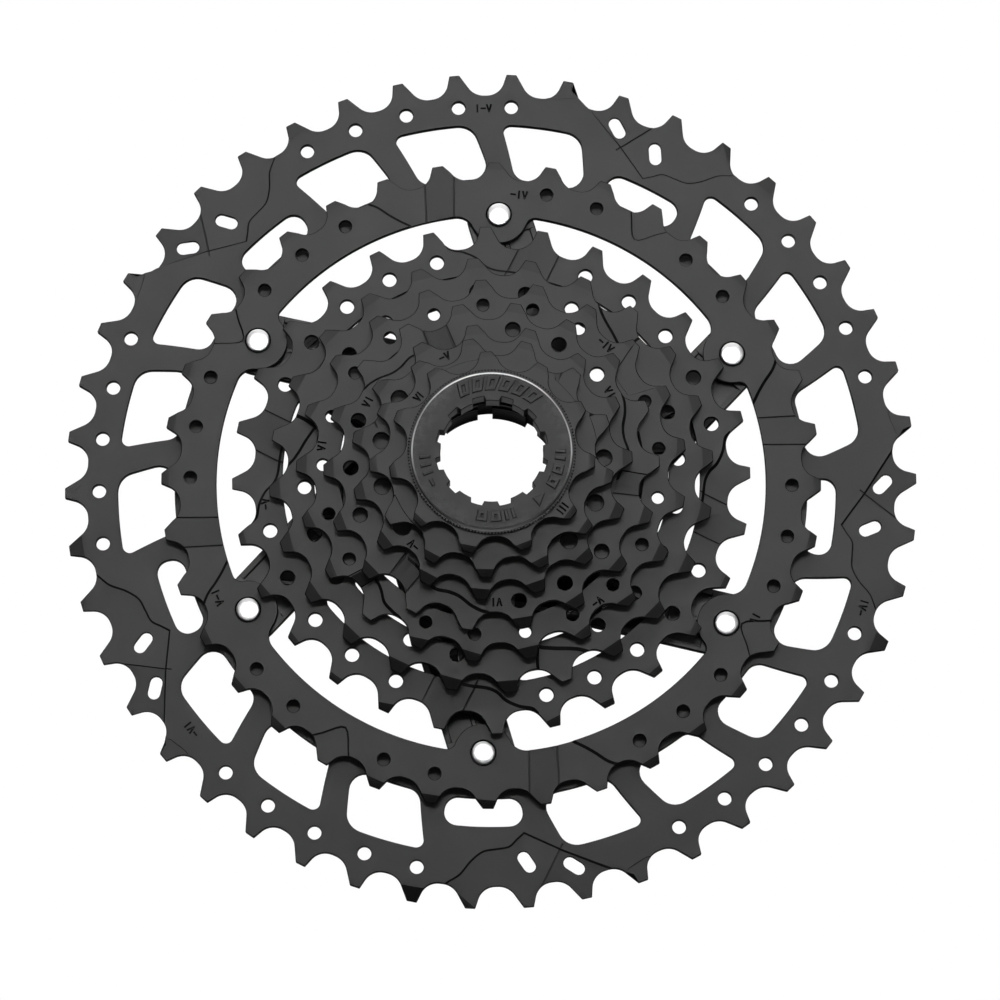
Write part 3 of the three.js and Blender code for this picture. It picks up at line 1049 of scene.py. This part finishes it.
class Nodes:
    """A short way to make and join a material's nodes."""

    def __init__(self, name):
        self.material = bpy.data.materials.new(name)
        self.material.use_nodes = True
        tree = self.material.node_tree
        self.tree = tree
        self.shader = tree.nodes["Principled BSDF"]
        self.place = tree.nodes.new("ShaderNodeTexCoord").outputs["Object"]

    def new(self, kind, **settings):
        node = self.tree.nodes.new(kind)
        for key, value in settings.items():
            if hasattr(node, key):
                setattr(node, key, value)
            else:
                node.inputs[key].default_value = value
        return node

    def link(self, source, target):
        self.tree.links.new(source, target)

    def noise(self, scale, detail=3.0, roughness=0.55):
        node = self.new("ShaderNodeTexNoise", Scale=scale, Detail=detail, Roughness=roughness)
        self.link(self.place, node.inputs["Vector"])
        return node.outputs["Fac"]

    def span(self, value, low, high, to_low, to_high):
        node = self.new("ShaderNodeMapRange")
        for key, number in (("From Min", low), ("From Max", high),
                            ("To Min", to_low), ("To Max", to_high)):
            node.inputs[key].default_value = number
        self.link(value, node.inputs["Value"])
        return node.outputs["Result"]

    def times(self, a, b, operation="MULTIPLY"):
        node = self.new("ShaderNodeMath", operation=operation)
        for source, socket in ((a, node.inputs[0]), (b, node.inputs[1])):
            if isinstance(source, (int, float)):
                socket.default_value = source
            else:
                self.link(source, socket)
        return node.outputs["Value"]

    def blend(self, factor, a, b):
        node = self.new("ShaderNodeMix", data_type="RGBA")
        self.link(factor, node.inputs["Factor"])
        for source, socket in ((a, node.inputs[6]), (b, node.inputs[7])):
            if isinstance(source, tuple):
                socket.default_value = (*source, 1)
            else:
                self.link(source, socket)
        return node.outputs[2]

    def bump(self, height, distance, strength, below=None):
        node = self.new("ShaderNodeBump", Strength=strength, Distance=distance)
        self.link(height, node.inputs["Height"])
        if below is not None:
            self.link(below, node.inputs["Normal"])
        return node.outputs["Normal"]


def grey(value, tint=0.0):
    return (value * (1 + tint), value, value * (1 - tint))


def finish_material(name, base, worn, rough, grain, metallic=0.0, specular=0.5, wear=0.5,
                    spread=0.12, scale=1.0, cut=1.0):
    """A coated or bare metal: soft cloudy colour, fine grain, rims rubbed lighter, and painted
    shade.
    """
    n = Nodes(name)
    cloud = n.span(n.noise(45 * scale, 4), 0.3, 0.7, 0, 1)
    speck = n.span(n.noise(2600 * scale, 2), 0.35, 0.65, 0, 1)
    dark, light = grey(base * (1 - spread)), grey(base * (1 + spread))
    colour = n.blend(cloud, dark, light)
    colour = n.blend(n.times(speck, 0.35), colour, grey(base * (1 + 2 * spread)))
    attribute = n.new("ShaderNodeAttribute", attribute_name="edge").outputs["Fac"]
    broken = n.span(n.noise(420 * scale, 4, 0.7), 0.42, 0.62, 0, 1)
    rubbed = n.times(n.times(n.span(attribute, 0.25, 1, 0, 1), broken), wear)
    colour = n.blend(rubbed, colour, grey(worn))
    # Painted shade: the "cut" attribute darkens the colour towards base times cut, and lowers the
    # specular level with it.
    painted_shade = n.new("ShaderNodeAttribute", attribute_name="cut").outputs["Fac"]
    colour = n.blend(painted_shade, colour, grey(base * cut))
    n.link(colour, n.shader.inputs["Base Color"])
    n.shader.inputs["Metallic"].default_value = metallic
    shaded_specular = n.span(painted_shade, 0, 1, specular, specular * cut)
    n.link(shaded_specular, n.shader.inputs["Specular IOR Level"])
    patch = n.span(n.noise(160 * scale, 3), 0.3, 0.7, rough * (1 - spread), rough * (1 + spread))
    n.link(patch, n.shader.inputs["Roughness"])
    fine = n.bump(n.noise(3200 * scale, 2), 0.00004, grain)
    wide = n.bump(n.noise(300 * scale, 2), 0.00004, grain * 0.35, fine)
    n.link(wide, n.shader.inputs["Normal"])
    return n.material


# Each cut value is how dark the painted shade goes, as a share of the base colour.
COAT = finish_material("black_coat", 0.040, 0.10, 0.5, 0.5, wear=0.06, spread=0.04, cut=0.12)
LOCK_COAT = finish_material("lockring_coat", 0.027, 0.12, 0.48, 1.0, wear=0.5, spread=0.05,
                            scale=1.3, cut=0.25)
RIM_STEEL = finish_material("lockring_rim_steel", 0.8, 0.85, 0.42, 0.1, metallic=1.0, wear=0.3,
                            spread=0.03, cut=0.15)
CARRIER_FINISH = finish_material("carrier_finish", 0.085, 0.14, 0.5, 0.3, wear=0.4, cut=0.15)
SPACER_FINISH = finish_material("spacer_plastic", 0.02, 0.03, 0.5, 0.4, wear=0.2)
STEEL = finish_material("rivet_steel", 0.85, 0.9, 0.32, 0.12, metallic=1.0, wear=0.3, spread=0.04)
PIN_STEEL = finish_material("pin_steel", 0.6, 0.7, 0.35, 0.2, metallic=1.0, wear=0.3, spread=0.06)
WASHER_COAT = finish_material("washer_coat", 0.06, 0.15, 0.4, 0.25, wear=0.5)

# ---------------------------------------------------------------- carrier

RIM_BEVEL = 0.15
HUB_RADIUS = 21.8
ARM_OFFSET = 19.1
ARM_HALF = 7.1
ARM_REACH = math.sqrt(RIVET_CIRCLE**2 - ARM_OFFSET**2)
ARM_TURN = math.degrees(math.asin(ARM_OFFSET / RIVET_CIRCLE))
PAD_BOTTOM, PAD_TOP = 2.7, 4.64
FLOOR_TOP = 3.8
RIB_TOP = 8.1
RIB_WIDTH = 1.2
RIB_WALL = 0.2
POCKET_END = ARM_REACH - 4.6
RIB_FALL = 20.0
# The sunk panel on the back of each arm, and the round groove in the back of the hub.
PANEL_HALF = 3.6
PANEL_START, PANEL_END = 26, ARM_REACH - 9
PANEL_DEPTH = 0.45
PANEL_WALL = 0.4
GROOVE_INNER, GROOVE_OUTER = 17.6, 20.4
GROOVE_DEPTH = 0.5
GROOVE_WALL = 0.3
HUB_WALL = 0.25
# Low ribs on an arm's floor, each from one (along, across) point to another, and its half width.
TRUSS = (
    ((22, -6), (22, 6), 0.6), ((34, -6), (34, 6), 0.5), ((44, -6), (44, 6), 0.5),
    ((22, -6), (34, 6), 0.35), ((22, 6), (34, -6), 0.35),
    ((34, -6), (44, 6), 0.35), ((34, 6), (44, -6), 0.35), ((44, -6), (48, 0), 0.35),
    ((48, 0), (44, 6), 0.35), ((48, 0), (53, 0), 0.35),
)


def to_arm(x, y, arm):
    """A point's place along and across one arm."""
    angle = math.radians(-(TAB_PHASE + ARM_TURN + 60 * arm))
    c, s = math.cos(angle), math.sin(angle)
    return c * x - s * y, s * x + c * y + ARM_OFFSET


def from_arm(points, arm):
    return turned(moved(points, 0, -ARM_OFFSET), TAB_PHASE + ARM_TURN + 60 * arm)


def arm_outline():
    ends = arc((ARM_REACH, 0), ARM_HALF, -90, 90, 22)
    return subdivided([(0, ARM_HALF), (0, -ARM_HALF)] + ends, 3)


def union_outline(shapes):
    """The outer outline of several overlapping closed shapes."""
    points = []
    edges = []
    add_lines(points, edges, shapes, closed=True)
    found = delaunay_2d_cdt([Vector(p) for p in points], edges, [], 0, 1e-5, False)
    xy = np.array([tuple(v) for v in found[0]])
    faces = np.array([tuple(f) for f in found[2]])
    middle = xy[faces].mean(1)
    kept = np.zeros(len(faces), bool)
    for shape in shapes:
        kept |= inside(middle[:, 0], middle[:, 1], shape)
    following = {}
    directed = set()
    for a, b, c in faces[kept]:
        pa, pb, pc = xy[a], xy[b], xy[c]
        left = (pb[0] - pa[0]) * (pc[1] - pa[1]) - (pb[1] - pa[1]) * (pc[0] - pa[0]) > 0
        ring = (a, b, c) if left else (a, c, b)
        directed |= {(ring[k], ring[(k + 1) % 3]) for k in range(3)}
    for a, b in directed:
        if (b, a) not in directed:
            following[a] = b
    start = max(following, key=lambda v: xy[v][0])
    loop = [start]
    while following[loop[-1]] != start:
        loop.append(following[loop[-1]])
    return [tuple(xy[v]) for v in loop]


def rib_share(x, low, wall):
    return np.clip((x - low) / wall, 0, 1)


def arm_top(x, y):
    """The height of the carrier's front over the whole of its arms."""
    result = np.full(len(x), PAD_TOP)
    radius = np.hypot(x, y)
    for arm in range(ARM_COUNT):
        along, across = to_arm(x, y, arm)
        on = (abs(across) < ARM_HALF + 0.01) & (along > -0.01) & (along < POCKET_END + 0.4)
        fall = np.clip((along - RIB_FALL) / (POCKET_END - RIB_FALL), 0, 1)
        rib_top = RIB_TOP + (PAD_TOP - RIB_TOP) * fall
        share = rib_share(abs(across), ARM_HALF - RIB_WIDTH - RIB_WALL, RIB_WALL)
        end = rib_share(along, POCKET_END, RIB_WALL)
        height = FLOOR_TOP + (rib_top - FLOOR_TOP) * share
        height = np.maximum(height, FLOOR_TOP + (PAD_TOP - FLOOR_TOP) * end)
        for a, b, half in TRUSS:
            gap = distance_to(along, across, [a, b])
            rise = 1 - rib_share(gap, half, RIB_WALL)
            low = PAD_TOP if half > 0.4 else FLOOR_TOP + 0.45
            height = np.maximum(height, FLOOR_TOP + (low - FLOOR_TOP) * rise)
        result = np.where(on, height, result)
    for arm in range(ARM_COUNT):
        along, across = to_arm(x, y, arm)
        fall = np.clip((along - RIB_FALL) / (POCKET_END - RIB_FALL), 0, 1)
        on = (abs(across) > ARM_HALF - RIB_WIDTH) & (abs(across) < ARM_HALF + 0.01)
        on &= (along > 8) & (along < POCKET_END)
        result = np.where(on, np.maximum(result, RIB_TOP + (PAD_TOP - RIB_TOP) * fall), result)
    top = node_heights("carrier")[1]
    hub = rib_share(-radius, -HUB_RADIUS, HUB_WALL)
    return result + (top - result) * hub


def arm_bottom(x, y):
    result = np.full(len(x), PAD_BOTTOM)
    radius = np.hypot(x, y)
    for arm in range(ARM_COUNT):
        along, across = to_arm(x, y, arm)
        side = rib_share(-abs(across), -PANEL_HALF, PANEL_WALL)
        near = rib_share(along, PANEL_START, PANEL_WALL) * rib_share(-along, -PANEL_END, PANEL_WALL)
        result = np.maximum(result, PAD_BOTTOM + PANEL_DEPTH * side * near)
    hub = rib_share(-radius, -HUB_RADIUS, HUB_WALL)
    groove = rib_share(radius, GROOVE_INNER, GROOVE_WALL)
    groove = groove * rib_share(-radius, -GROOVE_OUTER, GROOVE_WALL) * GROOVE_DEPTH
    return result + (groove - result) * hub


def line_circle(radius, steps=96):
    ring = circle(radius, steps)
    return ring + ring[:1]


def carrier():
    shapes = [circle(HUB_RADIUS, 120)]
    lines = [line_circle(r) for r in (HUB_RADIUS - 0.25, 17.6, 17.9, 20.1, 20.4)]
    for arm in range(ARM_COUNT):
        shapes.append(from_arm(arm_outline(), arm))
        for side in (-1, 1):
            for across in (ARM_HALF - RIB_WIDTH, ARM_HALF - RIB_WIDTH - RIB_WALL):
                lines.append(from_arm([(8, side * across), (POCKET_END, side * across)], arm))
            for across in (3.6, 3.2):
                run = [(PANEL_START, side * across), (PANEL_END, side * across)]
                lines.append(from_arm(run, arm))
        for along in (POCKET_END, POCKET_END + RIB_WALL, 26, 26.4, ARM_REACH - 9, RIB_FALL):
            lines.append(from_arm([(along, -ARM_HALF + 0.2), (along, ARM_HALF - 0.2)], arm))
        for a, b, half in TRUSS:
            run = np.array(b, float) - np.array(a, float)
            side = np.array((-run[1], run[0])) / np.linalg.norm(run)
            for offset in (-half - RIB_WALL, -half, half, half + RIB_WALL):
                ends = [tuple(np.array(a) + side * offset), tuple(np.array(b) + side * offset)]
                lines.append(from_arm(ends, arm))
    outline = union_outline(shapes)
    holes = [spline_outline()]
    for arm in range(ARM_COUNT):
        holes.append(circle(RIVET_HOLE, 24, rivet_centre(arm)))
    loops = [facing(outline, True)] + [facing(hole, False) for hole in holes]
    for loop in loops:
        ring = inset(loop, RIM_BEVEL)
        lines.append(ring + ring[:1])
    xy, triangles, walls = triangulated(loops, lines)
    rim = rim_flags(len(xy), walls)
    x, y = xy[:, 0], xy[:, 1]
    shell = Shell()
    top = arm_top(x, y) - RIM_BEVEL * rim
    bottom = arm_bottom(x, y) + RIM_BEVEL * rim
    solid_between(shell, xy, triangles, walls, top, bottom, rim)
    finish_piece(shell.piece("carrier_casting"), CARRIER_FINISH, "carrier_grey", "carrier")


# ---------------------------------------------------------------- rivets, pins and spacers

RIVET_HEAD = 2.52
RIVET_WELL = 2.95
RIVET_WELL_DEPTH = 0.9


def rivets():
    for arm in range(ARM_COUNT):
        node = f"rivet_{arm + 1}"
        bottom, top = node_heights(node)
        seat = top - 0.5 - 0.04
        profile = [
            (1.2, bottom + 0.12), (2.0, bottom), (2.3, bottom + 0.1), (2.4, bottom + 0.3),
            (2.4, bottom + 0.52), (1.75, bottom + 0.56), (1.75, seat - RIVET_WELL_DEPTH + 0.05),
            (RIVET_HEAD, seat - RIVET_WELL_DEPTH + 0.08), (RIVET_HEAD, top - 0.16),
            (RIVET_HEAD - 0.06, top - 0.05), (RIVET_HEAD - 0.18, top), (1.0, top - 0.01),
            (0.4, top - 0.02),
        ]
        shell = Shell()
        spun(shell, profile, 48, rivet_centre(arm))
        finish_piece(shell.piece(f"rivet_head_{arm + 1}"), STEEL, "rivet_steel", node)


def pins():
    for pin in range(3):
        node = f"cluster_pin_{pin + 1}"
        bottom, top = node_heights(node)
        profile = [
            (0.5, bottom), (1.1, bottom + 0.06), (1.5, bottom + 0.22), (1.6, bottom + 0.46),
            (1.2, bottom + 0.5), (1.2, top - 0.5), (1.6, top - 0.46), (1.5, top - 0.22),
            (1.1, top - 0.06), (0.5, top),
        ]
        shell = Shell()
        spun(shell, profile, 32, pin_centre(pin))
        finish_piece(shell.piece(f"pin_{pin + 1}"), PIN_STEEL, "pin_steel", node)


def spacers():
    for large, small in ((28, 24), (24, 21), (21, 18), (18, 15), (15, 13)):
        node = f"spacer_{large}_{small}"
        bottom, top = node_heights(node)
        profile = [
            (17.2, bottom + 0.1), (17.3, bottom), (21.3, bottom), (21.5, bottom + 0.2),
            (21.5, top - 0.2), (21.3, top), (20.2, top), (20.0, top - 0.3), (18.4, top - 0.3),
            (18.2, top), (17.3, top), (17.2, top - 0.1),
        ]

        def scalloped(radius, height, degrees, index):
            near = abs(degrees % 20 - 10)
            return radius - 0.35 * (radius > 21) * (near < 3.2), height

        shell = Shell()
        ring_body(shell, profile, 180, scalloped)
        finish_piece(shell.piece(node + "_ring"), SPACER_FINISH, "spacer_black", node)


# ---------------------------------------------------------------- lockring

RING_STEPS = 480
FACE_DROP = 0.45
KNURL_RADIUS = 18.1
KNURL_DEPTH = 0.5
RIM_INNER = 17.0
RIM_FALL = 0.46
FLANGE_BACK = 37.7
# Every so many steps round the rim, one is a knurl's notch.
KNURL_STEPS = 3
SLEEVE_RADIUS = 15.1
THREAD_PITCH = 1.0
THREAD_DEPTH = 0.35
SLEEVE_BORE = 13.3
TOOL_COUNT = 12
TOOL_PHASE = 14
TOOL_OUTER, TOOL_INNER = 12.1, 11.1
TOOL_DEPTH = 5.0
# On the lockring's face, only the rim within this radius is bevelled.
MOUTH_RADIUS = 13


def washer():
    bottom, top = node_heights("lock_washer")
    inner, outer = 15.4, 17.4
    profile = [
        (inner, bottom + 0.06), (inner + 0.1, bottom), (outer - 0.1, bottom),
        (outer, bottom + 0.08), (outer, top - 0.08), (outer - 0.1, top), (16.7, top),
        (inner + 0.2, top), (inner, top - 0.06),
    ]

    def serrated(radius, height, degrees, index):
        low = index in (6, 7) and degrees % 5 > 2.4
        return radius, height - 0.12 * low

    shell = Shell()
    ring_body(shell, profile, 144, serrated)
    finish_piece(shell.piece("washer_ring"), WASHER_COAT, "washer_black", "lock_washer")


def tool_outline():
    points = []
    step = 360 / TOOL_COUNT
    for i in range(TOOL_COUNT):
        middle = TOOL_PHASE + i * step
        points += arc((0, 0), TOOL_OUTER, middle - 6, middle + 6, 5)
        points += arc((0, 0), TOOL_INNER, middle + 7.6, middle + step - 7.6, 6)
    return points


def ring_box(low, high, inner, outer, lean=0.0):
    """A raised block between two angles and two radii. It leans by so many degrees outwards."""
    base = arc((0, 0), inner, low, high, 4)
    top = arc((0, 0), outer, high + lean, low + lean, 4)
    return Recess(base + top, [], FACE_DROP, 0.16, closed=True)


class Hollow:
    """A raised block with a sunk middle, so that its outline stands up as a ridge."""

    def __init__(self, low, high, inner, outer, lean=0.0, ridge=0.75):
        side = math.degrees(ridge / inner)
        share = ridge / (outer - inner) * lean
        self.block = ring_box(low, high, inner, outer, lean)
        self.well = ring_box(low + side + share, high - side + share, inner + ridge,
                             outer - ridge, lean - 2 * share)
        self.lines = self.block.lines + self.well.lines

    def drop(self, x, y):
        return self.block.drop(x, y) - self.well.drop(x, y)


def lockring_marks():
    """Generic raised marks: a band of slanted frames, a turning arrow, and a few ticks."""
    marks = [Hollow(a, a + 9.8, 13.3, 16.5, -3.6) for a in np.arange(51, 122, 12)]
    marks += [Hollow(a, a + 9.2, 13.2, 15.6) for a in (257, 269)]
    marks += [ring_box(a, a + 3.4, 13.2, 15.6) for a in (281, 287)]
    marks += [Hollow(a, a + 9.0, 13.6, 16.0) for a in (328, 340)]
    marks += [ring_box(a, a + 3.4, 13.6, 16.0) for a in (352, 358)]
    tip = [polar(14.7, 321), polar(16.0, 310), polar(13.4, 310)]
    marks.append(Recess(subdivided(tip, 1.5), [], FACE_DROP, 0.16, closed=True))
    marks += [ring_box(a, a + 3.0, 13.3, 15.7) for a in (184, 191, 198)]
    marks.append(ring_box(205, 211.5, 14.2, 15.0))
    return marks


def lockring():
    bottom, top = node_heights("lockring")
    face = top - FACE_DROP
    shell = Shell()

    def loop_at(radius, height, knurl=0.0, thread=0.0):
        points = []
        for i in range(RING_STEPS):
            a = 360 * i / RING_STEPS
            r = radius
            if i % KNURL_STEPS == 0:
                r -= knurl
            if thread:
                turn = (height / THREAD_PITCH - a / 360) % 1
                r -= thread * (1 - abs(2 * turn - 1))
            points.append((*polar(r, a), height))
        return points

    outside = [loop_at(RIM_INNER, face), loop_at(RIM_INNER, face - RIM_FALL),
               loop_at(17.6, face - RIM_FALL),
               loop_at(KNURL_RADIUS, face - RIM_FALL, knurl=KNURL_DEPTH),
               loop_at(KNURL_RADIUS, FLANGE_BACK + 0.1),
               loop_at(17.5, FLANGE_BACK), loop_at(15.0, FLANGE_BACK)]
    # Painted shade: the slopes into each knurl notch get the full painted shade, so the notches
    # show as dark dots.
    notch_painted_shade = [1.0 if i % KNURL_STEPS != 1 else 0.0 for i in range(RING_STEPS)]
    rows = 20
    for k in range(1, rows):
        height = FLANGE_BACK + (bottom + 0.3 - FLANGE_BACK) * k / rows
        outside.append(loop_at(SLEEVE_RADIUS, height, thread=THREAD_DEPTH))
    outside += [loop_at(14.6, bottom), loop_at(SLEEVE_BORE + 0.3, bottom),
                loop_at(SLEEVE_BORE, bottom + 0.3), loop_at(SLEEVE_BORE, face - TOOL_DEPTH)]
    for k in range(len(outside) - 1):
        shell.band(outside[k + 1], outside[k], shade=notch_painted_shade if k == 3 else None)

    tool = facing(tool_outline(), False)
    marks = lockring_marks()
    lines = [line for mark in marks for line in mark.lines]
    ring = inset(tool, RIM_BEVEL)
    lines.append(ring + ring[:1])
    rim_circle = [p[:2] for p in outside[0]]

    def face_height(x, y, rim):
        radius = np.hypot(x, y)
        raised = np.zeros(len(x))
        for mark in marks:
            raised = np.maximum(raised, mark.drop(x, y))
        return face + raised - RIM_BEVEL * rim * (radius < MOUTH_RADIUS)

    cap(shell, [rim_circle, tool], lines, face_height)
    inner = [(x, y, face - RIM_BEVEL) for x, y in tool]
    outer = [(x, y, face - TOOL_DEPTH) for x, y in tool]
    shell.band(outer, inner)
    sleeve = [p[:2] for p in outside[-1]]
    cap(shell, [sleeve, tool], [], lambda x, y, rim: np.full(len(x), face - TOOL_DEPTH), False)
    finish_piece(shell.piece("lockring_body"), LOCK_COAT, "lockring_black", "lockring")
    rim = Shell()
    profile = [(RIM_INNER - 0.02, face - RIM_FALL + 0.02), (17.58, face - RIM_FALL + 0.02),
               (17.56, face - 0.42), (17.34, face - 0.2), (17.1, face - 0.05),
               (RIM_INNER - 0.02, face)]
    ring_body(rim, profile, 240)
    finish_piece(rim.piece("lockring_rim"), RIM_STEEL, "lockring_black", "lockring")


# ---------------------------------------------------------------- the pieces

for tooth_count in SPROCKETS:
    sprocket(tooth_count)
carrier()
rivets()
pins()
spacers()
washer()
lockring()
